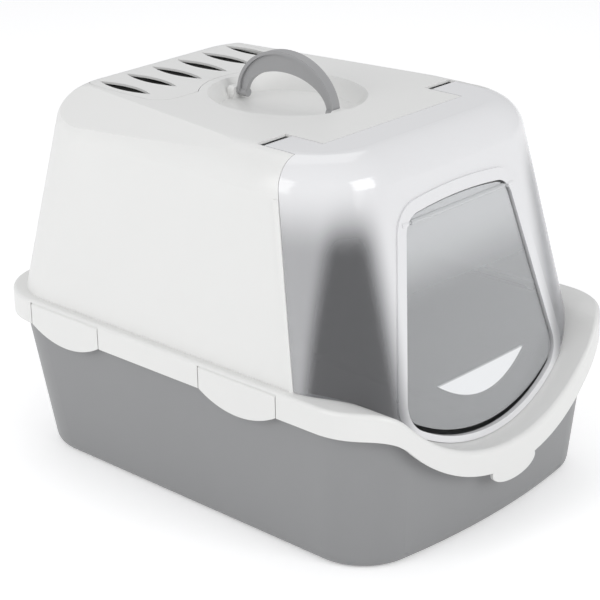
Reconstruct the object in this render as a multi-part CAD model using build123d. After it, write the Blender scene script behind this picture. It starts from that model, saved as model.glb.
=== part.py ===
# Covered litter box: a tapered tray, a hood that clips over its rim with four side latches, a front visor
# hinged on top of the hood, a see-through swing flap in the visor, a folding carry handle in a round recess,
# and a slotted cover over a carbon filter at the rear of the roof.
# Millimetres. +Z is up, the entrance faces -Y, and the origin is on the floor under the centre of the box.
from build123d import *
import math
import os

# Overall size, at the skirt that runs round the joint between tray and hood
WIDTH = 400.0
LENGTH = 560.0
HOOD_TOP = 392.0
WALL = 2.6
SEAM_GAP = 0.6
HALF_WIDTH = WIDTH / 2
REAR = LENGTH / 2
FRONT = -LENGTH / 2

# Skirt of the hood, level along the sides and dipping under the entrance
SKIRT_LEVEL = 150.0
SKIRT_HEIGHT = 27.0
SKIRT_WALL = 3.0
SKIRT_CORNER = 72.0
SKIRT_EDGE = 4.0
LIP_BULGE = 20.0
DECK_LEDGE = 6.0
LIP_FRONT = FRONT + LIP_BULGE
SKIRT_TOP = SKIRT_LEVEL + SKIRT_HEIGHT
DIP_DEPTH = 81.0
DIP_SIDE = 14.0
DIP_BLEND = 54.0
DIP_END = HALF_WIDTH - DIP_SIDE
DIP_RADIUS = (DIP_END**2 + DIP_DEPTH**2) / (2 * DIP_DEPTH) - DIP_BLEND
DIP_REAR = FRONT + 120.0

# Tray
TRAY_WALL = 3.0
TRAY_FLOOR_HALF_WIDTH = HALF_WIDTH - 22.0
TRAY_FLOOR_REAR = REAR - 40.0
TRAY_FLOOR_FRONT = FRONT + 45.0
TRAY_FLOOR_CORNER = 62.0
TRAY_FLOOR_BULGE = 20.0
TRAY_BASE_ROUND = 12.0
TRAY_RIM_RISE = 14.0
TRAY_RIM_THICKNESS = 2.5
TRAY_RIM_GAP = 1.0
TRAY_RIM_WIDTH = 4.0

# Hood and visor share one envelope, given at the skirt's deck and at the roof
ROOF_HALF_WIDTH = HALF_WIDTH - 28.0
DECK_HALF_WIDTH = HALF_WIDTH - 10.0
ROOF_REAR = REAR - 49.0
DECK_REAR = REAR - 12.0
ROOF_FRONT = FRONT + 94.0
DECK_FRONT = FRONT + 50.0
ROOF_REAR_CORNER = 98.0
DECK_REAR_CORNER = 70.0
ROOF_FRONT_CORNER = 92.0
DECK_FRONT_CORNER = 76.0
FRONT_BULGE = 5.0
ENVELOPE_LOW = 60.0
CROWN = 36.0
FACET_ROOF_X = HALF_WIDTH - 88.0
FACET_WALL_X = HALF_WIDTH - 24.0
FACET_WALL_Z = HOOD_TOP - 26.0
FACET_REAR_Y = REAR - 85.0
FACET_FRONT_X = HALF_WIDTH - 27.0
FACET_FRONT_Y = FRONT + 168.0
FACET_FRONT_Z = HOOD_TOP - 8.0

# Side seam between hood and visor, seen from the side
SEAM_TOP_Y = FRONT + 155.0
SEAM_DECK_Y = FRONT + 117.0
SEAM_BEAD = 5.0
SEAM_BEAD_RISE = 1.2

# Visor hinge
HINGE_Y = FRONT + 192.0
HINGE_DROP = 9.0
HINGE_PIN_RADIUS = 3.0
HINGE_CLEARANCE = 0.06
ARM_OUTER_X = HALF_WIDTH - 58.0
ARM_WIDTH = 38.0
ARM_INNER_X = ARM_OUTER_X - ARM_WIDTH
ARM_GAP = 1.2
LUG_THICKNESS = 6.0

# Entrance in the visor and the flap that closes it
ENTRANCE_LOW_HALF_WIDTH = 132.0
ENTRANCE_LOW_Z = 80.0
ENTRANCE_TOP_HALF_WIDTH = 77.0
ENTRANCE_TOP_Z = HOOD_TOP - 63.0
ENTRANCE_ARCH = 6.0
ENTRANCE_CORNER = 22.0
ENTRANCE_LOW_CORNER = 30.0
ENTRANCE_SILL_RISE = 7.0
FRAME_WIDTH = 12.0
FRAME_RISE = 2.0
FLAP_GAP = 2.5
FLAP_SET_BACK = 0.8
FLAP_THICKNESS = 2.0
FLAP_SILL_GAP = 6.0
FLAP_AXIS_BELOW_TOP = 12.0
FLAP_AXIS_BEHIND_FACE = 1.2
FLAP_AXLE_RADIUS = 1.5
FLAP_BARREL_RADIUS = 2.6
FLAP_BOSS_RADIUS = 3.2
FLAP_BOSS_LENGTH = 8.0
FLAP_CLEARANCE = 0.06

# Handle and its recess in the roof
RECESS_Y = REAR - 262.0
RECESS_HALF_X = 77.0
RECESS_HALF_Y = 87.0
RECESS_DEPTH = 17.0
RECESS_SLOPE = 12.0
HANDLE_SPAN = 134.0
HANDLE_RISE = 53.5
HANDLE_AXIS_ABOVE_FLOOR = 7.0
HANDLE_FOOT_THICKNESS = 9.0
HANDLE_FOOT_WIDTH = 11.0
HANDLE_FOOT_DEPTH = 11.0
HANDLE_GRIP_DEPTH = 22.0
HANDLE_FLANGE = 3.5
HANDLE_WEB = 5.0
HANDLE_PIN_RADIUS = 3.0
HANDLE_CLEARANCE = 0.06
HANDLE_BLOCK_LENGTH = 9.0
HANDLE_BLOCK_WIDTH = 20.0
HANDLE_BLOCK_HEIGHT = 12.5
HANDLE_END_GAP = 0.6

# Filter cover, the bay under it and the carbon filter
COVER_HALF_WIDTH = 108.0
COVER_REAR = REAR - 66.0
COVER_DEPTH = 122.0
COVER_FRONT = COVER_REAR - COVER_DEPTH
COVER_CORNER = 26.0
COVER_THICKNESS = 2.6
COVER_GAP = 0.6
COVER_NOTCH_MARGIN = 9.0
BAY_INSET = 7.0
BAY_DEPTH = 17.0
BAY_WALL = 2.2
FILTER_THICKNESS = 9.0
FILTER_GAP = 1.5
SLOT_COUNT = 6
SLOT_PITCH = 37.0
SLOT_LENGTH = 77.0
SLOT_WIDTH = 17.0
SLOT_Y = COVER_REAR - 53.0

# Latches that hook under the tray's rim
LATCH_WIDTH = 103.0
LATCH_GAP = 1.2
LATCH_THICKNESS = 3.0
LATCH_DROP = 14.0
LATCH_FRONT_Y = FRONT + 183.5
LATCH_REAR_Y = REAR - 126.5
LATCH_PIN_RADIUS = 1.6
LATCH_PIN_LENGTH = 5.0
LATCH_CLEARANCE = 0.06
LATCH_BARREL_RADIUS = 3.2
LATCH_TOP_GAP = 0.3
LATCH_HOOK_GAP = 0.4
LATCH_HOOK_REACH = 3.2
LATCH_HOOK_HEIGHT = 4.5
LATCH_HOOK_LENGTH = 60.0
LATCH_LUG_DEPTH = 7.0
LATCH_LUG_LENGTH = 7.0

# Finger tab under the middle of the lip
TAB_HALF_WIDTH = 34.0
TAB_DROP = 14.0

FAR = 600.0


def plan(half_width, rear, front, rear_corner, front_corner, front_bulge):
    """Outline seen from above: straight sides and rear, rounded corners, and a front that bulges forwards."""
    left_rear, right_rear = (-half_width, rear), (half_width, rear)
    left_front, right_front = (-half_width, front), (half_width, front)
    outline = make_face(
        [
            Line(left_rear, right_rear),
            Line(right_rear, right_front),
            ThreePointArc(right_front, (0, front - front_bulge), left_front),
            Line(left_front, left_rear),
        ]
    )
    rear_points = outline.vertices().filter_by_position(Axis.Y, rear - 1, rear + 1)
    outline = fillet(rear_points, rear_corner)
    front_points = [
        v
        for v in outline.vertices()
        if abs(v.Y - front) < 1e-6 and abs(abs(v.X) - half_width) < 1e-6
    ]
    return fillet(front_points, front_corner)


def prism(face, low, high):
    """The outline as a straight prism between two heights."""
    return extrude(Pos(0, 0, low) * face, high - low)


def between(deck_value, roof_value, z):
    """A dimension of the envelope at height z, from its values at the deck and at the roof."""
    share = (z - SKIRT_TOP) / (HOOD_TOP - SKIRT_TOP)
    return deck_value + share * (roof_value - deck_value)


def front_at(z):
    return between(DECK_FRONT, ROOF_FRONT, z)


def half_width_at(z):
    return between(DECK_HALF_WIDTH, ROOF_HALF_WIDTH, z)


def envelope_plan(z, inset):
    return plan(
        half_width_at(z) - inset,
        between(DECK_REAR, ROOF_REAR, z) - inset,
        front_at(z) + inset,
        between(DECK_REAR_CORNER, ROOF_REAR_CORNER, z) - inset,
        between(DECK_FRONT_CORNER, ROOF_FRONT_CORNER, z) - inset,
        FRONT_BULGE,
    )


def envelope(inset):
    """The outer form that hood and visor share, or the same form moved inwards."""
    roof = HOOD_TOP - inset
    body = loft(
        [
            Pos(0, 0, z) * envelope_plan(z, inset)
            for z in (ENVELOPE_LOW, roof)
        ],
        ruled=True,
    )
    return fillet(body.edges().group_by(Axis.Z)[-1], CROWN - inset)


def dip_curve(shift):
    """The dip under the entrance, seen from the front, as points and edges from left to right."""
    level = SKIRT_LEVEL + shift
    end = DIP_END
    turn = math.asin(end / (DIP_RADIUS + DIP_BLEND))
    low_centre = level - DIP_DEPTH + DIP_RADIUS
    high_centre = level - DIP_BLEND

    def on_dip(angle):
        return (DIP_RADIUS * math.sin(angle), low_centre - DIP_RADIUS * math.cos(angle))

    def on_blend(side, angle):
        return (side * (end - DIP_BLEND * math.sin(angle)), high_centre + DIP_BLEND * math.cos(angle))

    return [
        Line((-FAR, level), on_blend(-1, 0)),
        ThreePointArc(on_blend(-1, 0), on_blend(-1, turn / 2), on_blend(-1, turn)),
        ThreePointArc(on_dip(-turn), on_dip(0), on_dip(turn)),
        ThreePointArc(on_blend(1, turn), on_blend(1, turn / 2), on_blend(1, 0)),
        Line(on_blend(1, 0), (FAR, level)),
    ]


def dip_height(x, shift):
    """Height of the dip curve at x."""
    level = SKIRT_LEVEL + shift
    if abs(x) >= DIP_END:
        return level
    if abs(x) <= DIP_RADIUS * DIP_END / (DIP_RADIUS + DIP_BLEND):
        return level - DIP_DEPTH + DIP_RADIUS - math.sqrt(DIP_RADIUS**2 - x**2)
    return level - DIP_BLEND + math.sqrt(DIP_BLEND**2 - (DIP_END - abs(x)) ** 2)


def band(low, high):
    """Everything between two heights above the skirt's lower edge, following the dip at the front."""
    lower, upper = dip_curve(low), dip_curve(high)
    sides = [
        Line((-FAR, SKIRT_LEVEL + low), (-FAR, SKIRT_LEVEL + high)),
        Line((FAR, SKIRT_LEVEL + low), (FAR, SKIRT_LEVEL + high)),
    ]
    face = Plane.XZ * make_face([*lower, *upper, *sides])
    front = Pos(0, DIP_REAR, 0) * extrude(face, FAR)
    rear = Pos(0, DIP_REAR + FAR / 2, SKIRT_LEVEL + (low + high) / 2) * Box(2 * FAR, FAR, high - low)
    return front + rear


def skirt_plan(inset):
    return plan(
        HALF_WIDTH - inset,
        REAR - inset,
        LIP_FRONT + inset,
        SKIRT_CORNER - inset,
        SKIRT_CORNER - inset,
        LIP_BULGE,
    )


def side_profile(points, width=2 * FAR):
    """A profile drawn in the YZ plane, extruded across the whole width."""
    face = Plane.YZ * make_face(Polyline(*points, close=True))
    return extrude(face, width / 2, both=True)


def seam_y(z):
    share = (z - SKIRT_TOP) / (HOOD_TOP - SKIRT_TOP)
    return SEAM_DECK_Y + share * (SEAM_TOP_Y - SEAM_DECK_Y)


def ahead_of_seam(shift):
    """Everything in front of the seam plane, moved by shift along Y."""
    return side_profile(
        [
            (seam_y(-FAR) + shift, -FAR),
            (seam_y(FAR) + shift, FAR),
            (-FAR, FAR),
            (-FAR, -FAR),
        ]
    )


def on_both_sides(shape):
    return shape + mirror(shape, Plane.YZ)


def hinge_z():
    return HOOD_TOP - HINGE_DROP


def x_cylinder(x_low, x_high, y, z, radius):
    return Pos((x_low + x_high) / 2, y, z) * Rot(0, 90, 0) * Cylinder(radius, x_high - x_low)


def y_cylinder(x, y_low, y_high, z, radius):
    return Pos(x, (y_low + y_high) / 2, z) * Rot(90, 0, 0) * Cylinder(radius, y_high - y_low)


def box(x_low, x_high, y_low, y_high, z_low, z_high):
    centre = ((x_low + x_high) / 2, (y_low + y_high) / 2, (z_low + z_high) / 2)
    return Pos(*centre) * Box(x_high - x_low, y_high - y_low, z_high - z_low)


def arm_strips(margin, rear):
    """The two strips of roof behind the seam that carry the visor's hinge barrels."""
    strip = box(
        ARM_INNER_X - margin,
        ARM_OUTER_X + margin,
        SEAM_DECK_Y,
        rear,
        HOOD_TOP - 2 * HINGE_DROP,
        HOOD_TOP + HINGE_DROP,
    )
    return on_both_sides(strip)


def hinge_barrels(margin):
    """Round ends of the arms, tangent to the roof, so that nothing swings into the hood."""
    barrel = x_cylinder(ARM_INNER_X - margin, ARM_OUTER_X + margin, HINGE_Y, hinge_z(), HINGE_DROP + margin)
    return on_both_sides(barrel)


def facet_cutter(inset):
    """The flat facet along each side of the roof, wide at the rear and narrow at the seam."""
    roof = Vector(FACET_ROOF_X, FACET_REAR_Y, HOOD_TOP)
    wall = Vector(FACET_WALL_X, FACET_REAR_Y, FACET_WALL_Z)
    front = Vector(FACET_FRONT_X, FACET_FRONT_Y, FACET_FRONT_Z)
    normal = (wall - roof).cross(front - roof).normalized()
    if normal.Z < 0:
        normal = -normal
    plane = Plane(origin=roof - normal * inset, z_dir=normal)
    block = extrude(plane * Rectangle(2 * FAR, 2 * FAR), FAR / 2)
    block = block & (Pos(FAR / 2, 0, HOOD_TOP) * Box(FAR, 2 * FAR, 2 * FAR))
    return block + mirror(block, Plane.YZ)


def ellipse_at(half_x, half_y, z):
    return Pos(0, RECESS_Y, z) * Ellipse(half_x, half_y)


def recess_bowl(growth):
    """The round hand recess, or its outer skin when growth is the wall."""
    return loft(
        [
            ellipse_at(
                RECESS_HALF_X - RECESS_SLOPE + growth,
                RECESS_HALF_Y - RECESS_SLOPE + growth,
                HOOD_TOP - RECESS_DEPTH - growth,
            ),
            ellipse_at(RECESS_HALF_X + growth, RECESS_HALF_Y + growth, HOOD_TOP + 1.0),
        ],
        ruled=True,
    )


def handle_axis_z():
    return HOOD_TOP - RECESS_DEPTH + HANDLE_AXIS_ABOVE_FLOOR


def handle_blocks():
    """The two bearing blocks at the ends of the recess, bored for the handle's pins."""
    blocks = []
    for side in (-1, 1):
        centre_y = RECESS_Y + side * (HANDLE_SPAN / 2 + HANDLE_END_GAP + HANDLE_BLOCK_LENGTH / 2)
        block = Pos(0, centre_y, HOOD_TOP - RECESS_DEPTH + HANDLE_BLOCK_HEIGHT / 2) * Box(
            HANDLE_BLOCK_WIDTH, HANDLE_BLOCK_LENGTH, HANDLE_BLOCK_HEIGHT
        )
        block = fillet(block.edges().filter_by(Axis.Y).group_by(Axis.Z)[-1], 4.0)
        blocks.append(block)
    return blocks[0] + blocks[1]


def handle_bore():
    length = HANDLE_SPAN + 2 * (HANDLE_END_GAP + HANDLE_BLOCK_LENGTH) - 2.0
    return Pos(0, RECESS_Y, handle_axis_z()) * Rot(90, 0, 0) * Cylinder(
        HANDLE_PIN_RADIUS + HANDLE_CLEARANCE, length
    )


def cover_plan(growth):
    """Outline of the filter cover: a rounded panel whose front edge is hollowed round the hand recess."""
    depth = COVER_REAR - COVER_FRONT + 2 * growth
    panel = Pos(0, (COVER_REAR + COVER_FRONT) / 2) * RectangleRounded(
        2 * (COVER_HALF_WIDTH + growth), depth, COVER_CORNER + growth
    )
    notch = Pos(0, RECESS_Y) * Ellipse(
        RECESS_HALF_X + COVER_NOTCH_MARGIN - growth, RECESS_HALF_Y + COVER_NOTCH_MARGIN - growth
    )
    return panel - notch


def leaf_slots(count):
    """Leaf-shaped vents, pointed at both ends, in a row across the roof."""
    half_length, half_width = SLOT_LENGTH / 2, SLOT_WIDTH / 2
    leaf = make_face(
        [
            ThreePointArc((0, -half_length), (half_width, 0), (0, half_length)),
            ThreePointArc((0, half_length), (-half_width, 0), (0, -half_length)),
        ]
    )
    first = -(count - 1) / 2 * SLOT_PITCH
    return [Pos(first + i * SLOT_PITCH, SLOT_Y) * leaf for i in range(count)]


def latch_axis_x():
    return HALF_WIDTH - LATCH_BARREL_RADIUS


def latch_axis_z():
    return SKIRT_TOP - SKIRT_WALL - LATCH_TOP_GAP - LATCH_BARREL_RADIUS


def rim_plan(inset):
    """Outline of the tray's rim, a running gap inside the skirt."""
    return skirt_plan(SKIRT_WALL + TRAY_RIM_GAP + inset)


def tray_form(inset):
    """The tapered body of the tray, or the same form moved inwards."""
    base = plan(
        TRAY_FLOOR_HALF_WIDTH - inset,
        TRAY_FLOOR_REAR - inset,
        TRAY_FLOOR_FRONT + inset,
        TRAY_FLOOR_CORNER - inset,
        TRAY_FLOOR_CORNER - inset,
        TRAY_FLOOR_BULGE,
    )
    body = loft([Pos(0, 0, inset) * base, Pos(0, 0, SKIRT_TOP) * rim_plan(TRAY_RIM_WIDTH + inset)], ruled=True)
    return fillet(body.edges().group_by(Axis.Z)[0], TRAY_BASE_ROUND - inset)


def make_tray():
    """Tray with a flat base, a wall that dips at the entrance and a rim turned outwards."""
    above_rim = band(TRAY_RIM_RISE, FAR)
    rim = prism(rim_plan(0), 1.0, HOOD_TOP) & band(TRAY_RIM_RISE - TRAY_RIM_THICKNESS, TRAY_RIM_RISE)
    body = tray_form(0) - above_rim
    return body + rim - tray_form(TRAY_WALL)


def skirt_block():
    """The skirt filled in, with its upper edge rounded all the way round."""
    block = prism(skirt_plan(0), 1.0, HOOD_TOP) & band(0, SKIRT_HEIGHT)

    def on_top(edge):
        middle = edge @ 0.5
        target = SKIRT_TOP if middle.Y > DIP_REAR - 1e-6 else dip_height(middle.X, SKIRT_HEIGHT)
        return abs(middle.Z - target) < 1e-3

    return fillet([edge for edge in block.edges() if on_top(edge)], SKIRT_EDGE)


def finger_tab():
    """Tongue below the middle of the lip, for lifting the hood."""
    outline = Pos(0, SKIRT_LEVEL - DIP_DEPTH) * Ellipse(TAB_HALF_WIDTH, TAB_DROP)
    tongue = extrude(Plane.XZ * outline, FAR)
    wall = prism(skirt_plan(0), 1.0, HOOD_TOP) - prism(skirt_plan(SKIRT_WALL), 1.0, HOOD_TOP)
    return tongue & wall - band(SKIRT_HEIGHT / 2, FAR)


def latch_openings():
    """Gaps in the skirt that the latches close."""
    openings = None
    for centre in (LATCH_FRONT_Y, LATCH_REAR_Y):
        reach = LATCH_WIDTH / 2 + LATCH_GAP
        opening = box(
            latch_axis_x() - LATCH_BARREL_RADIUS - LATCH_TOP_GAP,
            HALF_WIDTH + SKIRT_WALL,
            centre - reach,
            centre + reach,
            SKIRT_LEVEL - SKIRT_WALL,
            SKIRT_TOP - SKIRT_WALL,
        )
        openings = opening if openings is None else openings + opening
    return on_both_sides(openings)


def latch_lugs():
    """Blocks under the deck at the ends of each latch. They carry its pins and rest on the tray's rim."""
    lugs = []
    inner = HALF_WIDTH - SKIRT_WALL - LATCH_LUG_DEPTH
    for centre in (LATCH_FRONT_Y, LATCH_REAR_Y):
        for side in (-1, 1):
            near = centre + side * (LATCH_WIDTH / 2 + LATCH_GAP)
            far = near + side * LATCH_LUG_LENGTH
            lugs.append(
                box(
                    inner,
                    HALF_WIDTH - SKIRT_WALL + 0.5,
                    min(near, far),
                    max(near, far),
                    SKIRT_LEVEL + TRAY_RIM_RISE,
                    SKIRT_TOP - SKIRT_WALL + 0.5,
                )
            )
    joined = lugs[0]
    for lug in lugs[1:]:
        joined += lug
    return on_both_sides(joined)


def latch_bores():
    bores = None
    for centre in (LATCH_FRONT_Y, LATCH_REAR_Y):
        reach = LATCH_WIDTH / 2 + LATCH_GAP + LATCH_PIN_LENGTH + LATCH_CLEARANCE
        bore = y_cylinder(
            latch_axis_x(), centre - reach, centre + reach, latch_axis_z(), LATCH_PIN_RADIUS + LATCH_CLEARANCE
        )
        bores = bore if bores is None else bores + bore
    return on_both_sides(bores)


def shell():
    """The thin skin of hood and visor together, with the facets along the roof."""
    outer = envelope(0) - facet_cutter(0)
    inner = envelope(WALL) - facet_cutter(WALL)
    return outer - inner


def hinge_lugs():
    """Four lugs under the roof, one on each side of each hinge barrel."""
    low = hinge_z() - HINGE_PIN_RADIUS - SKIRT_WALL
    lugs = []
    for start in (ARM_INNER_X - ARM_GAP - LUG_THICKNESS, ARM_OUTER_X + ARM_GAP):
        half = HINGE_PIN_RADIUS + SKIRT_WALL
        lugs.append(
            box(start, start + LUG_THICKNESS, HINGE_Y - half, HINGE_Y + half, low, HOOD_TOP - WALL / 2)
        )
    return on_both_sides(lugs[0] + lugs[1])


def hinge_pin_body(side):
    near = ARM_INNER_X - ARM_GAP - LUG_THICKNESS
    far = ARM_OUTER_X + ARM_GAP + LUG_THICKNESS
    low, high = (near, far) if side > 0 else (-far, -near)
    return x_cylinder(low, high, HINGE_Y, hinge_z(), HINGE_PIN_RADIUS)


def filter_bay():
    """Ledge for the cover and a shallow tray with slots for the filter under it."""
    bay_low = HOOD_TOP - BAY_DEPTH
    rim_wide = prism(cover_plan(3.0), bay_low, HOOD_TOP + 1.0)
    rim_gap = prism(cover_plan(COVER_GAP), bay_low, HOOD_TOP + 1.0)
    rim_open = prism(cover_plan(-BAY_INSET), bay_low - 9.0, HOOD_TOP + 1.0)
    below_roof = envelope(WALL - 0.5)
    below_cover = envelope(WALL + 0.3)
    below_ledge = envelope(WALL + 0.3 + BAY_WALL)
    collar = (below_roof - below_ledge) & (rim_wide - rim_gap)
    ledge = (below_cover - below_ledge) & (rim_wide - rim_open)
    outer = prism(cover_plan(-BAY_INSET + BAY_WALL), bay_low - BAY_WALL, HOOD_TOP - WALL - 1.5)
    inner = prism(cover_plan(-BAY_INSET), bay_low, HOOD_TOP)
    vents = [extrude(Pos(0, 0, bay_low - 2 * BAY_WALL) * leaf, 3 * BAY_WALL) for leaf in leaf_slots(SLOT_COUNT)]
    bay = (outer & below_cover) - inner
    for vent in vents:
        bay -= vent
    return collar + ledge + bay


def make_hood():
    """Hood: skin behind the seam, deck and skirt, recess for the handle, filter bay and hinge lugs."""
    skin = shell() - ahead_of_seam(0)
    skin &= box(-FAR, FAR, -FAR, FAR, SKIRT_TOP - SKIRT_WALL, FAR)
    bead = (envelope(-SEAM_BEAD_RISE) - envelope(WALL / 2)) & (ahead_of_seam(SEAM_BEAD) - ahead_of_seam(0))
    bead &= box(-FAR, FAR, -FAR, FAR, SKIRT_TOP - SKIRT_WALL, HOOD_TOP - CROWN)
    skirt = skirt_block()
    skirt -= prism(skirt_plan(SKIRT_WALL), 1.0, HOOD_TOP) & band(-1.0, SKIRT_HEIGHT - SKIRT_WALL)
    skirt += finger_tab()
    skirt -= envelope(WALL + DECK_LEDGE)
    hood = skin + bead + skirt
    hood += (recess_bowl(WALL) & envelope(WALL / 2)) - recess_bowl(0)
    hood -= recess_bowl(0)
    hood -= prism(cover_plan(COVER_GAP), HOOD_TOP - CROWN, HOOD_TOP + CROWN)
    hood += filter_bay()
    hood += handle_blocks()
    hood -= handle_bore()
    hood -= arm_strips(ARM_GAP, HINGE_Y + HINGE_DROP + 2 * ARM_GAP)
    hood += hinge_lugs()
    hood -= hinge_barrels(ARM_GAP)
    for side in (-1, 1):
        hood -= hinge_pin_body(side)
    hood -= latch_openings()
    hood += latch_lugs()
    hood -= latch_bores()
    return hood


def entrance_outline(growth):
    """Outline of the entrance seen from the front: narrower at the top, its lower edge parallel to the sill."""
    top = ENTRANCE_TOP_Z
    points = [
        (-ENTRANCE_LOW_HALF_WIDTH, ENTRANCE_LOW_Z),
        (ENTRANCE_LOW_HALF_WIDTH, ENTRANCE_LOW_Z),
        (ENTRANCE_TOP_HALF_WIDTH, top),
        (-ENTRANCE_TOP_HALF_WIDTH, top),
    ]
    outline = make_face(
        [
            Line(points[0], points[1]),
            Line(points[1], points[2]),
            ThreePointArc(points[2], (0, top + ENTRANCE_ARCH), points[3]),
            Line(points[3], points[0]),
        ]
    )
    corners = [v for v in outline.vertices() if abs(v.Y - top) < 1e-6]
    outline = fillet(corners, ENTRANCE_CORNER)
    sill_z = SKIRT_TOP - DIP_DEPTH + ENTRANCE_SILL_RISE
    radius = DIP_RADIUS - ENTRANCE_SILL_RISE
    scoop = Pos(0, sill_z + radius) * Circle(radius)
    outline &= scoop + Pos(0, sill_z + radius + FAR / 2) * Rectangle(FAR, FAR)
    low = sorted(outline.vertices(), key=lambda v: v.Y)[:2]
    outline = fillet(low, ENTRANCE_LOW_CORNER)
    return offset(outline, growth) if growth else outline


def entrance_block(growth):
    return Pos(0, ROOF_FRONT / 2, 0) * extrude(Plane.XZ * entrance_outline(growth), FAR)


def flap_axis_z():
    return ENTRANCE_TOP_Z + ENTRANCE_ARCH - FLAP_AXIS_BELOW_TOP


def flap_axis_y():
    return front_at(flap_axis_z()) - FRONT_BULGE + FLAP_AXIS_BEHIND_FACE


def flap_half_width():
    """Half the width of the entrance at the flap's axis, less the running gap."""
    share = (flap_axis_z() - ENTRANCE_LOW_Z) / (ENTRANCE_TOP_Z - ENTRANCE_LOW_Z)
    across = ENTRANCE_LOW_HALF_WIDTH + share * (ENTRANCE_TOP_HALF_WIDTH - ENTRANCE_LOW_HALF_WIDTH)
    return across - ENTRANCE_CORNER / 4 - FLAP_GAP


def flap_boss_start():
    return flap_half_width() + FLAP_BOSS_RADIUS + FLAP_GAP


def flap_bosses():
    start = flap_boss_start()
    return on_both_sides(
        x_cylinder(start, start + FLAP_BOSS_LENGTH, flap_axis_y(), flap_axis_z(), FLAP_BOSS_RADIUS)
    )


def make_visor():
    """Visor: skin ahead of the seam with a framed entrance, and two arms that end in hinge barrels."""
    lower = band(-FAR, SKIRT_HEIGHT + SEAM_GAP)
    visor = shell() & (ahead_of_seam(-SEAM_GAP) + arm_strips(0, HINGE_Y))
    frame = envelope(-FRAME_RISE) - envelope(WALL / 2)
    frame &= entrance_block(FRAME_WIDTH)
    visor += frame - ahead_of_seam(-FAR)
    visor -= lower
    visor -= entrance_block(0)
    visor += hinge_barrels(0)
    visor -= x_cylinder(
        -ARM_OUTER_X - 1.0, ARM_OUTER_X + 1.0, HINGE_Y, hinge_z(), HINGE_PIN_RADIUS + HINGE_CLEARANCE
    )
    visor += flap_bosses()
    reach = flap_boss_start() + FLAP_BOSS_LENGTH - 1.0
    visor -= x_cylinder(-reach, reach, flap_axis_y(), flap_axis_z(), FLAP_AXLE_RADIUS + FLAP_CLEARANCE)
    return visor


def make_flap():
    """See-through flap inside the frame of the entrance, hung from two stub axles near its top."""
    flap = envelope(FLAP_SET_BACK) - envelope(FLAP_SET_BACK + FLAP_THICKNESS)
    flap &= entrance_block(-FLAP_GAP)
    flap -= band(-FAR, SKIRT_HEIGHT + ENTRANCE_SILL_RISE + FLAP_SILL_GAP)
    half = flap_half_width()
    flap += x_cylinder(-half, half, flap_axis_y(), flap_axis_z(), FLAP_BARREL_RADIUS)
    reach = flap_boss_start() + FLAP_BOSS_LENGTH - 2.0
    flap += x_cylinder(-reach, reach, flap_axis_y(), flap_axis_z(), FLAP_AXLE_RADIUS)
    return flap


def arch(foot_depth, top_depth, width):
    """Half an elliptical ring above the handle's axis, extruded across."""
    half_span, rise = HANDLE_SPAN / 2, HANDLE_RISE
    ring = Ellipse(half_span, rise) - Ellipse(half_span - foot_depth, rise - top_depth)
    ring &= Pos(0, rise / 2) * Rectangle(2 * half_span, rise)
    return Pos(0, RECESS_Y, handle_axis_z()) * extrude(Plane.YZ * ring, width / 2, both=True)


def make_handle():
    """Folding handle: an arch with a flat outer flange and a thinner web, turning on two stub pins."""
    handle = arch(HANDLE_FLANGE, HANDLE_FLANGE, HANDLE_FOOT_WIDTH)
    handle += arch(HANDLE_FOOT_DEPTH, HANDLE_GRIP_DEPTH, HANDLE_WEB)
    half = HANDLE_SPAN / 2
    for side in (-1, 1):
        ends = sorted((side * half, side * (half - HANDLE_FOOT_DEPTH)))
        handle += y_cylinder(
            0, RECESS_Y + ends[0], RECESS_Y + ends[1], handle_axis_z(), HANDLE_FOOT_THICKNESS / 2
        )
    reach = half + HANDLE_END_GAP + HANDLE_BLOCK_LENGTH - 1.5
    handle += y_cylinder(0, RECESS_Y - reach, RECESS_Y - half + 1.0, handle_axis_z(), HANDLE_PIN_RADIUS)
    handle += y_cylinder(0, RECESS_Y + half - 1.0, RECESS_Y + reach, handle_axis_z(), HANDLE_PIN_RADIUS)
    return handle


def make_cover():
    """Slotted cover over the filter, flush with the roof."""
    cover = (envelope(0) - envelope(COVER_THICKNESS)) & prism(cover_plan(0), HOOD_TOP - CROWN, HOOD_TOP + 1.0)
    for leaf in leaf_slots(SLOT_COUNT):
        cover -= extrude(Pos(0, 0, HOOD_TOP - CROWN) * leaf, 2 * CROWN)
    return cover


def make_filter():
    return prism(cover_plan(-BAY_INSET - FILTER_GAP), HOOD_TOP - BAY_DEPTH, HOOD_TOP - BAY_DEPTH + FILTER_THICKNESS)


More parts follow.
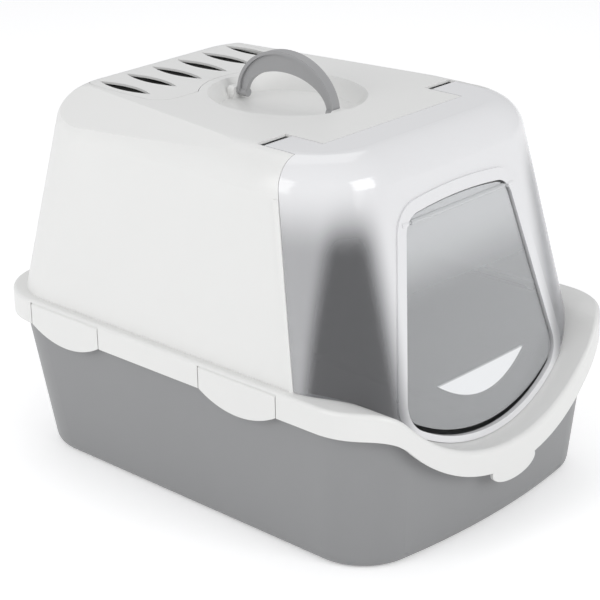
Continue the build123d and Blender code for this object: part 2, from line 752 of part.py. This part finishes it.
def make_latch(side, centre):
    """Latch in the side of the skirt, hinged along its top, with a hook under the tray's rim."""
    half = LATCH_WIDTH / 2
    outline = make_face(
        [
            Line((centre - half, latch_axis_z()), (centre + half, latch_axis_z())),
            Line((centre + half, latch_axis_z()), (centre + half, SKIRT_LEVEL)),
            ThreePointArc(
                (centre + half, SKIRT_LEVEL), (centre, SKIRT_LEVEL - LATCH_DROP), (centre - half, SKIRT_LEVEL)
            ),
            Line((centre - half, SKIRT_LEVEL), (centre - half, latch_axis_z())),
        ]
    )
    latch = Pos(HALF_WIDTH - LATCH_THICKNESS, 0, 0) * extrude(Plane.YZ * outline, LATCH_THICKNESS)
    latch += y_cylinder(latch_axis_x(), centre - half, centre + half, latch_axis_z(), LATCH_BARREL_RADIUS)
    reach = half + LATCH_GAP + LATCH_PIN_LENGTH
    latch += y_cylinder(latch_axis_x(), centre - reach, centre + reach, latch_axis_z(), LATCH_PIN_RADIUS)
    hook_top = SKIRT_LEVEL + TRAY_RIM_RISE - TRAY_RIM_THICKNESS - LATCH_HOOK_GAP
    latch += box(
        HALF_WIDTH - LATCH_THICKNESS - LATCH_HOOK_REACH,
        HALF_WIDTH - LATCH_THICKNESS + 0.5,
        centre - LATCH_HOOK_LENGTH / 2,
        centre + LATCH_HOOK_LENGTH / 2,
        hook_top - LATCH_HOOK_HEIGHT,
        hook_top,
    )
    return latch if side > 0 else mirror(latch, Plane.YZ)


def one_solid(shape, name):
    """The single solid of a finished part. A part in several pieces is a mistake in its shape."""
    solids = shape.solids()
    assert len(solids) == 1, f"{name} has {len(solids)} solids"
    return solids[0]


PARTS = {
    "tray": make_tray,
    "hood": make_hood,
    "hinge_pin_left": lambda: hinge_pin_body(-1),
    "hinge_pin_right": lambda: hinge_pin_body(1),
    "carbon_filter": make_filter,
    "filter_cover": make_cover,
    "visor": make_visor,
    "flap": make_flap,
    "handle": make_handle,
    "latch_front_left": lambda: make_latch(-1, LATCH_FRONT_Y),
    "latch_front_right": lambda: make_latch(1, LATCH_FRONT_Y),
    "latch_rear_left": lambda: make_latch(-1, LATCH_REAR_Y),
    "latch_rear_right": lambda: make_latch(1, LATCH_REAR_Y),
}

os.makedirs("parts", exist_ok=True)
for part_name, make in PARTS.items():
    export_step(one_solid(make(), part_name), f"parts/{part_name}.step")
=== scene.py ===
"""Looks of a covered litter box: finishes, carbon pad, light and camera round the shared CAD frame.

The CAD pieces keep their own geometry. This script gives each one a plastic, felt or metal finish, rounds the
edges that catch light, swells the carbon pad up to its slotted cover, and matches the camera and the light to a
plain studio picture. All lengths are metres in the row frame: +X right, -Y front, +Z up.
"""

from __future__ import annotations

import logging
import math
from dataclasses import dataclass
from enum import Enum
from typing import Union

import bpy
from mathutils import Matrix, Vector

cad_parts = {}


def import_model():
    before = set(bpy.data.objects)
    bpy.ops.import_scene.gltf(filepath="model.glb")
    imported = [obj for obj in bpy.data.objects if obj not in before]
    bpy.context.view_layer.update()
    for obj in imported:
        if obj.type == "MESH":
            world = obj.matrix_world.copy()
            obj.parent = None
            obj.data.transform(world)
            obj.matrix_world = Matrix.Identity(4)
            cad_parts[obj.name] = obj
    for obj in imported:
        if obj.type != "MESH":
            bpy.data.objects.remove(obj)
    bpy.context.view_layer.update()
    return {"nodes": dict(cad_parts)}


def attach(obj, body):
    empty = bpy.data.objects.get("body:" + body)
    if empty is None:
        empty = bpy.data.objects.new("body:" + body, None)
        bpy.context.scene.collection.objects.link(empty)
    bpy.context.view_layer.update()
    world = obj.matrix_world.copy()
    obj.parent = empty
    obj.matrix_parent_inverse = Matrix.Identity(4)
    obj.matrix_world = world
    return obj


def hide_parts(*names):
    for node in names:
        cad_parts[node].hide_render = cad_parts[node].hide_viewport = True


log = logging.getLogger("litter_box")

Number = Union[float, int]
Triple = tuple[float, float, float]

FLAT_ANGLE = math.radians(28.0)
HARD_ANGLE = math.radians(50.0)
EDGE_SEGMENTS = 2


class Role(Enum):
    """What a CAD node is made of."""

    TRAY = "tray"
    SHELL = "shell"
    VISOR = "visor"
    FLAP = "flap"
    HANDLE = "handle"
    CARBON = "carbon"
    PIN = "pin"


NODE_ROLES: dict[str, Role] = {
    "tray": Role.TRAY,
    "hood": Role.SHELL,
    "hinge_pin_left": Role.PIN,
    "hinge_pin_right": Role.PIN,
    "carbon_filter": Role.CARBON,
    "filter_cover": Role.SHELL,
    "visor": Role.VISOR,
    "flap": Role.FLAP,
    "handle": Role.HANDLE,
    "latch_front_left": Role.SHELL,
    "latch_front_right": Role.SHELL,
    "latch_rear_left": Role.SHELL,
    "latch_rear_right": Role.SHELL,
}


@dataclass(frozen=True)
class Finish:
    """One moulded finish.

    colour and tint are linear RGB, tint being what a see-through wall does to light that passes straight through
    it, and see_through the share of light that does. grain is the height of the fine surface texture in metres
    and grain_scale how many grains fit in a metre. mottle is how far the colour strays from its mean, and bevel
    the rounding of hard edges in metres.
    """

    colour: Triple
    roughness: float
    grain: float = 0.0
    grain_scale: float = 900.0
    mottle: float = 0.0
    coat: float = 0.0
    metallic: float = 0.0
    see_through: float = 0.0
    tint: Triple = (1.0, 1.0, 1.0)
    specular: float = 0.5
    bevel: float = 0.0


FINISHES: dict[Role, Finish] = {
    Role.TRAY: Finish(
        (0.262, 0.264, 0.268), 0.42, grain=8e-6, grain_scale=1400.0, mottle=0.03, bevel=0.0007
    ),
    Role.SHELL: Finish(
        (0.775, 0.775, 0.762), 0.36, grain=1.2e-5, grain_scale=1200.0, mottle=0.012, bevel=0.0007
    ),
    # The visor's pale surface colour is what shows where its mask paints reflection.
    Role.VISOR: Finish(
        (0.81, 0.81, 0.82), 0.16, see_through=0.90, tint=(0.70, 0.705, 0.72), mottle=0.01, coat=0.4, bevel=0.0005
    ),
    # The flap's pale surface colour is what shows on its painted sheen and painted highlight.
    Role.FLAP: Finish(
        (0.80, 0.81, 0.82), 0.10, see_through=0.78, tint=(0.96, 0.965, 0.97), mottle=0.01, coat=0.5, bevel=0.0004
    ),
    Role.HANDLE: Finish(
        (0.34, 0.34, 0.345), 0.40, grain=2e-5, grain_scale=1600.0, mottle=0.03, bevel=0.0004
    ),
    Role.CARBON: Finish(
        (0.012, 0.012, 0.011), 0.95, grain=4e-4, grain_scale=700.0, mottle=0.3, specular=0.2
    ),
    Role.PIN: Finish((0.56, 0.56, 0.57), 0.3, metallic=1.0, mottle=0.02, bevel=0.0002),
}


class Sock:
    """A shader socket or a number with arithmetic, so that a finish reads as a formula."""

    def __init__(self, tree: "Nodes", source: Union[bpy.types.NodeSocket, Number]) -> None:
        """Args: tree, where the arithmetic's nodes go; source, the socket or number."""
        self.tree = tree
        self.source = source

    def _math(self, operation: str, first: "Operand", second: "Operand") -> "Sock":
        """Args: operation, a Math node's operation; first and second, its operands. Returns: the result."""
        return self.tree.make("ShaderNodeMath", {0: first, 1: second}, operation=operation)

    def __add__(self, other: "Operand") -> "Sock":
        """Args: other, what is added. Returns: the sum."""
        return self._math("ADD", self, other)

    def __radd__(self, other: "Operand") -> "Sock":
        """Args: other, what this is added to. Returns: the sum."""
        return self._math("ADD", other, self)

    def __sub__(self, other: "Operand") -> "Sock":
        """Args: other, what is taken away. Returns: the difference."""
        return self._math("SUBTRACT", self, other)

    def __rsub__(self, other: "Operand") -> "Sock":
        """Args: other, what this is taken from. Returns: the difference."""
        return self._math("SUBTRACT", other, self)

    def __mul__(self, other: "Operand") -> "Sock":
        """Args: other, a factor. Returns: the product."""
        return self._math("MULTIPLY", self, other)

    def __rmul__(self, other: "Operand") -> "Sock":
        """Args: other, a factor. Returns: the product."""
        return self._math("MULTIPLY", other, self)


Operand = Union[Sock, bpy.types.NodeSocket, Number]


class Nodes:
    """Builds one node tree."""

    def __init__(self, tree: bpy.types.NodeTree) -> None:
        """Args: tree, the node tree to empty and fill."""
        self.tree = tree
        self.tree.nodes.clear()

    def make(self, kind: str, inputs: dict | None = None, output: Union[int, str] = 0, **settings: object) -> Sock:
        """Makes a node.

        Args:
            kind: The node's type name.
            inputs: Input name or index to a socket, a Sock or a constant.
            output: Which output to return.
            **settings: Attributes of the node, set before its inputs.

        Returns:
            The chosen output.
        """
        node = self.tree.nodes.new(kind)
        for name, value in settings.items():
            setattr(node, name, value)
        for name, value in (inputs or {}).items():
            self.feed(node.inputs[name], value)
        return Sock(self, node.outputs[output]) if node.outputs else Sock(self, 0.0)

    def feed(self, socket: bpy.types.NodeSocket, value: object) -> None:
        """Links or sets an input. Args: socket, the input; value, what it gets."""
        if isinstance(value, Sock):
            value = value.source
        if isinstance(value, bpy.types.NodeSocket):
            self.tree.links.new(value, socket)
        else:
            socket.default_value = value

    def along(self, position: Sock, axis: str) -> Sock:
        """Args: position, a point; axis, "X", "Y" or "Z". Returns: its coordinate on that axis."""
        return self.make("ShaderNodeSeparateXYZ", {0: position}, output=axis)

    def ramp(self, value: Sock, low: float, high: float) -> Sock:
        """Args: value, in metres; low and high, where the result is 0 and 1. Returns: a smooth step."""
        return self.make(
            "ShaderNodeMapRange",
            {"Value": value, "From Min": low, "From Max": high, "To Min": 0.0, "To Max": 1.0},
            interpolation_type="SMOOTHERSTEP",
        )

    def grey(self, value: Sock) -> Sock:
        """Args: value, a number. Returns: a vector with that number three times."""
        return self.make("ShaderNodeCombineXYZ", {"X": value, "Y": value, "Z": value})


@dataclass(frozen=True)
class VisorClearAndSheen:
    """Where the visor is clear: in its two cheeks. Over the roof and round the entrance it stays pale and nearly
    opaque, a painted reflection of the light.

    The cheeks clear between two distances from the middle plane and between two heights. A band along the seam, where
    the visor laps the hood, lets less light through, and its paler tone is painted reflection too.
    """

    visor_sheen_share: float = 0.05
    starts_beside: float = 0.098
    clear_beside: float = 0.136
    starts_below: float = 0.376
    clear_below: float = 0.300
    band_front: float = -0.186
    band_rear: float = -0.164
    band_share: float = 0.62

    def share(self, nodes: Nodes, position: Sock) -> Sock:
        """How clear the visor is at a point.

        Args:
            nodes: The visor's tree.
            position: The object's own coordinates.

        Returns:
            A factor from the least share, on the painted reflection, to 1.
        """
        outwards = nodes.make("ShaderNodeMath", {0: nodes.along(position, "X")}, operation="ABSOLUTE")
        beside = nodes.ramp(outwards, self.starts_beside, self.clear_beside)
        below = nodes.ramp(nodes.along(position, "Z"), self.starts_below, self.clear_below)
        band = nodes.ramp(nodes.along(position, "Y"), self.band_front, self.band_rear)
        # Where the visor is less clear its pale surface shows: painted reflection over the roof, the entrance and the
        # seam band.
        clear = beside * below * (1.0 - band * (1.0 - self.band_share))
        return self.visor_sheen_share + clear * (1.0 - self.visor_sheen_share)


@dataclass(frozen=True)
class FlapClarity:
    """Where the flap is clear: less so towards its axle, a painted sheen that pales its top, and not at all on a
    crescent at its foot, a painted highlight where its bent foot catches the light.

    The painted highlight crescent lies between a level chord and a shallow arc, whose lowest point is on the middle
    plane.
    """

    sheen_top: float = 0.320
    sheen_bottom: float = 0.235
    upper_sheen_share: float = 0.56
    chord_height: float = 0.163
    foot_height: float = 0.1375
    half_chord: float = 0.068
    edge: float = 0.0012

    def share(self, nodes: Nodes, position: Sock) -> Sock:
        """How clear the flap is at a point.

        Args:
            nodes: The flap's tree.
            position: The object's own coordinates.

        Returns:
            A factor from 0, on the painted highlight crescent, to 1.
        """
        # Less clear towards the axle, a painted sheen, and opaque on the crescent, a painted highlight.
        upper = nodes.ramp(nodes.along(position, "Z"), self.sheen_bottom, self.sheen_top)
        return (1.0 - upper * (1.0 - self.upper_sheen_share)) * (1.0 - self._painted_highlight(nodes, position))

    def _painted_highlight(self, nodes: Nodes, position: Sock) -> Sock:
        """Args: nodes, the flap's tree; position, a point. Returns: 1 on the painted highlight crescent, 0 elsewhere.
        """
        across, height = nodes.along(position, "X"), nodes.along(position, "Z")
        sag = (self.chord_height - self.foot_height) / self.half_chord**2
        over_arc = height - (self.foot_height + across * across * sag)
        above = nodes.ramp(over_arc, 0.0, self.edge)
        below = nodes.ramp(height, self.chord_height, self.chord_height - self.edge)
        return above * below


# Each mask gives the clear parts, and also paints reflection, sheen and highlight where it keeps the surface opaque.
CLARITY: dict[Role, Union[VisorClearAndSheen, FlapClarity]] = {Role.VISOR: VisorClearAndSheen(), Role.FLAP: FlapClarity()}


@dataclass
class Painter:
    """Makes the materials and gives them to the pieces.

    The broad noise shades colour and roughness, and the fine one is the grain of the surface. rim_blend sets how
    soon a see-through wall closes up as it turns away from the eye.
    """

    broad_scale: float = 9.0
    broad_detail: float = 3.0
    fine_detail: float = 2.0
    roughness_swing: float = 0.08
    coat_roughness: float = 0.08
    rim_blend: float = 0.35

    def __post_init__(self) -> None:
        """Starts with no material made."""
        self.made: dict[Role, bpy.types.Material] = {}

    def material(self, role: Role) -> bpy.types.Material:
        """Args: role, the finish wanted. Returns: its material, made once."""
        if role not in self.made:
            self.made[role] = self._build(role, FINISHES[role])
        return self.made[role]

    def _build(self, role: Role, finish: Finish) -> bpy.types.Material:
        """Makes a material.

        Args:
            role: What the material is for.
            finish: Its values.

        Returns:
            The material.
        """
        material = bpy.data.materials.new(f"{role.value}_finish")
        material.use_nodes = True
        nodes = Nodes(material.node_tree)
        position = nodes.make("ShaderNodeTexCoord", output="Object")
        surface = self._moulding(nodes, position, finish)
        if finish.see_through:
            surface = self._clear_wall(nodes, position, role, surface)
        nodes.make("ShaderNodeOutputMaterial", {"Surface": surface})
        return material

    def _moulding(self, nodes: Nodes, position: Sock, finish: Finish) -> Sock:
        """The opaque surface, with mottled colour and roughness and a fine grain.

        Args:
            nodes: The material's tree.
            position: The object's own coordinates.
            finish: The material's values.

        Returns:
            The surface shader.
        """
        broad = nodes.make(
            "ShaderNodeTexNoise", {"Vector": position, "Scale": self.broad_scale, "Detail": self.broad_detail}
        )
        shade = 1.0 + (broad - 0.5) * (2.0 * finish.mottle)
        colour = nodes.make(
            "ShaderNodeVectorMath", {0: finish.colour, 1: nodes.grey(shade)}, operation="MULTIPLY"
        )
        inputs = {
            "Base Color": colour,
            "Roughness": finish.roughness + (broad - 0.5) * self.roughness_swing,
            "Metallic": finish.metallic,
            "Coat Weight": finish.coat,
            "Coat Roughness": self.coat_roughness,
            "Specular IOR Level": finish.specular,
        }
        if finish.grain:
            fine = nodes.make(
                "ShaderNodeTexNoise", {"Vector": position, "Scale": finish.grain_scale, "Detail": self.fine_detail}
            )
            inputs["Normal"] = nodes.make("ShaderNodeBump", {"Height": fine, "Distance": finish.grain, "Strength": 1.0})
        return nodes.make("ShaderNodeBsdfPrincipled", inputs)

    def _clear_wall(self, nodes: Nodes, position: Sock, role: Role, surface: Sock) -> Sock:
        """Lets light straight through where the piece is clear.

        Args:
            nodes: The material's tree.
            position: The object's own coordinates.
            role: What the material is for.
            surface: The opaque surface.

        Returns:
            The mixed shader.
        """
        finish = FINISHES[role]
        clear = nodes.make("ShaderNodeBsdfTransparent", {"Color": (*finish.tint, 1.0)})
        rim = nodes.make("ShaderNodeLayerWeight", {"Blend": self.rim_blend}, output="Facing")
        share = finish.see_through * (1.0 - rim * rim) * CLARITY[role].share(nodes, position)
        return nodes.make("ShaderNodeMixShader", {0: share, 1: surface, 2: clear})

    def give(self, piece: bpy.types.Object, role: Role) -> None:
        """Replaces every material slot of a piece. Args: piece, the object; role, its finish."""
        material = self.material(role)
        if not piece.material_slots:
            piece.data.materials.append(material)
        for slot in piece.material_slots:
            slot.material = material


def select_only(piece: bpy.types.Object) -> None:
    """Makes one object the only selected and active one. Args: piece, that object."""
    bpy.ops.object.select_all(action="DESELECT")
    piece.select_set(True)
    bpy.context.view_layer.objects.active = piece


def soften(piece: bpy.types.Object, width: float) -> None:
    """Gives a piece smooth shading and a small rounding on its hard edges.

    Args:
        piece: The node.
        width: The rounding's width, in metres, or 0 for none.
    """
    select_only(piece)
    bpy.ops.object.shade_smooth_by_angle(angle=FLAT_ANGLE)
    if width:
        bpy.ops.object.modifier_add(type="BEVEL")
        bevel = piece.modifiers[-1]
        bevel.width = width
        bevel.segments = EDGE_SEGMENTS
        bevel.limit_method = "ANGLE"
        bevel.angle_limit = HARD_ANGLE
        bevel.harden_normals = True
        bevel.use_clamp_overlap = True


@dataclass
class FilterPad:
    """The soft carbon pad, swollen until it nearly meets the slotted cover, so that the slots look filled.

    rise is how far the soft pad's top stands over the plain solid's, and weld the distance within which the
    copied mesh's loose corners are joined.
    """

    rise: float = 0.0044
    weld: float = 1e-6

    def build(self, plain: bpy.types.Object) -> bpy.types.Object:
        """Makes the pad from the plain solid's outline.

        Args:
            plain: The CAD node of the carbon filter.

        Returns:
            The finished pad, which stands for that node.
        """
        pad = bpy.data.objects.new("filter_pad", plain.data.copy())
        bpy.context.scene.collection.objects.link(pad)
        select_only(pad)
        self._weld()
        self._swell(pad)
        bpy.ops.object.shade_smooth_by_angle(angle=FLAT_ANGLE)
        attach(pad, "base")
        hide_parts("carbon_filter")
        return pad

    def _weld(self) -> None:
        """Joins the loose triangles of the copied mesh."""
        bpy.ops.object.mode_set(mode="EDIT")
        bpy.ops.mesh.select_all(action="SELECT")
        bpy.ops.mesh.remove_doubles(threshold=self.weld)
        bpy.ops.mesh.select_all(action="DESELECT")
        bpy.ops.object.mode_set(mode="OBJECT")

    def _swell(self, pad: bpy.types.Object) -> None:
        """Lifts the top of the pad. Args: pad, the welded copy."""
        heights = [vertex.co.z for vertex in pad.data.vertices]
        middle = (min(heights) + max(heights)) / 2.0
        for vertex in pad.data.vertices:
            vertex.select = vertex.co.z > middle
        bpy.ops.object.mode_set(mode="EDIT")
        bpy.ops.transform.translate(value=(0.0, 0.0, self.rise))
        bpy.ops.object.mode_set(mode="OBJECT")


@dataclass(frozen=True)
class Lamp:
    """One square softbox. place is its middle, power its watts and size its side in metres."""

    place: Triple
    power: float
    size: float


@dataclass(frozen=True)
class Studio:
    """Floor, world light, lamps and camera, matched to the photograph's high three-quarter view.

    Angles are degrees. azimuth 0 looks along +Y, and elevation is how far the camera looks down.
    """

    eye: Triple = (-1.4115, -1.3254, 0.9531)
    azimuth: float = -46.68
    elevation: float = 22.03
    roll: float = -1.02
    lens: float = 119.09
    sensor: float = 36.0
    farthest: float = 60.0
    floor_size: float = 40.0
    floor_colour: Triple = (0.93, 0.93, 0.93)
    floor_roughness: float = 0.8
    floor_glow: float = 0.30
    sky_colour: Triple = (0.98, 0.985, 1.0)
    sky_strength: float = 0.62
    aim: Triple = (0.0, 0.0, 0.2)
    lamps: tuple[Lamp, ...] = (
        Lamp((-2.1, 0.4, 1.1), 17.0, 1.4),
        Lamp((0.1, -2.4, 1.2), 20.0, 1.2),
        Lamp((0.6, 0.8, 2.2), 7.0, 1.6),
    )

    def build(self) -> None:
        """Makes the whole set."""
        self._floor()
        self._world()
        for lamp in self.lamps:
            self._lamp(lamp)
        self._camera()
        bpy.context.scene.view_settings.view_transform = "Standard"

    def _floor(self) -> None:
        """A wide pale floor that keeps the object's shadow."""
        bpy.ops.mesh.primitive_plane_add(size=self.floor_size)
        floor = bpy.context.object
        floor.name = "studio_floor"
        material = bpy.data.materials.new("studio_floor")
        material.use_nodes = True
        nodes = Nodes(material.node_tree)
        surface = nodes.make(
            "ShaderNodeBsdfPrincipled",
            {
                "Base Color": (*self.floor_colour, 1.0),
                "Roughness": self.floor_roughness,
                "Emission Color": nodes.grey(self._seen(nodes) * self.floor_glow),
                "Emission Strength": 1.0,
            },
        )
        nodes.make("ShaderNodeOutputMaterial", {"Surface": surface})
        floor.data.materials.append(material)

    def _seen(self, nodes: Nodes) -> Sock:
        """Args: nodes, the floor's tree. Returns: 1 where the camera, a gloss or a clear wall sees the floor."""
        camera, gloss, through = (
            nodes.make("ShaderNodeLightPath", output=f"Is {ray} Ray") for ray in ("Camera", "Glossy", "Transmission")
        )
        return camera + gloss + through

    def _world(self) -> None:
        """An even sky."""
        world = bpy.data.worlds.new("studio_world")
        bpy.context.scene.world = world
        world.use_nodes = True
        nodes = Nodes(world.node_tree)
        light = nodes.make(
            "ShaderNodeBackground", {"Color": (*self.sky_colour, 1.0), "Strength": self.sky_strength}
        )
        nodes.make("ShaderNodeOutputWorld", {"Surface": light})

    def _lamp(self, plan: Lamp) -> None:
        """Adds a softbox that faces the box. Args: plan, its place, power and size."""
        bpy.ops.object.light_add(type="AREA", location=plan.place)
        lamp = bpy.context.object
        lamp.data.energy = plan.power
        lamp.data.size = plan.size
        lamp.rotation_euler = (Vector(self.aim) - Vector(plan.place)).to_track_quat("-Z", "Y").to_euler()

    def _camera(self) -> None:
        """Adds the camera and makes it the scene's own."""
        azimuth, elevation, roll = (math.radians(a) for a in (self.azimuth, self.elevation, self.roll))
        back = Vector(
            (math.sin(azimuth) * math.cos(elevation), -math.cos(azimuth) * math.cos(elevation), math.sin(elevation))
        )
        right = Vector((math.cos(azimuth), math.sin(azimuth), 0.0))
        up = back.cross(right)
        axis_x = math.cos(roll) * right + math.sin(roll) * up
        axis_y = math.cos(roll) * up - math.sin(roll) * right
        turn = Matrix((axis_x, axis_y, back)).transposed()
        bpy.ops.object.camera_add(location=self.eye)
        camera = bpy.context.object
        camera.matrix_world = Matrix.Translation(self.eye) @ turn.to_4x4()
        camera.data.lens = self.lens
        camera.data.sensor_width = self.sensor
        camera.data.clip_end = self.farthest
        bpy.context.scene.camera = camera


def main() -> None:
    """Dresses the frame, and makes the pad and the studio."""
    logging.basicConfig(level=logging.INFO)
    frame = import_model()
    painter = Painter()
    for name, role in NODE_ROLES.items():
        node = frame["nodes"][name]
        soften(node, FINISHES[role].bevel)
        painter.give(node, role)
        log.info("%s: %s", name, role.value)
    painter.give(FilterPad().build(frame["nodes"]["carbon_filter"]), Role.CARBON)
    log.info("filter_pad: %s", Role.CARBON.value)
    Studio().build()


if __name__ == "__main__":
    main()
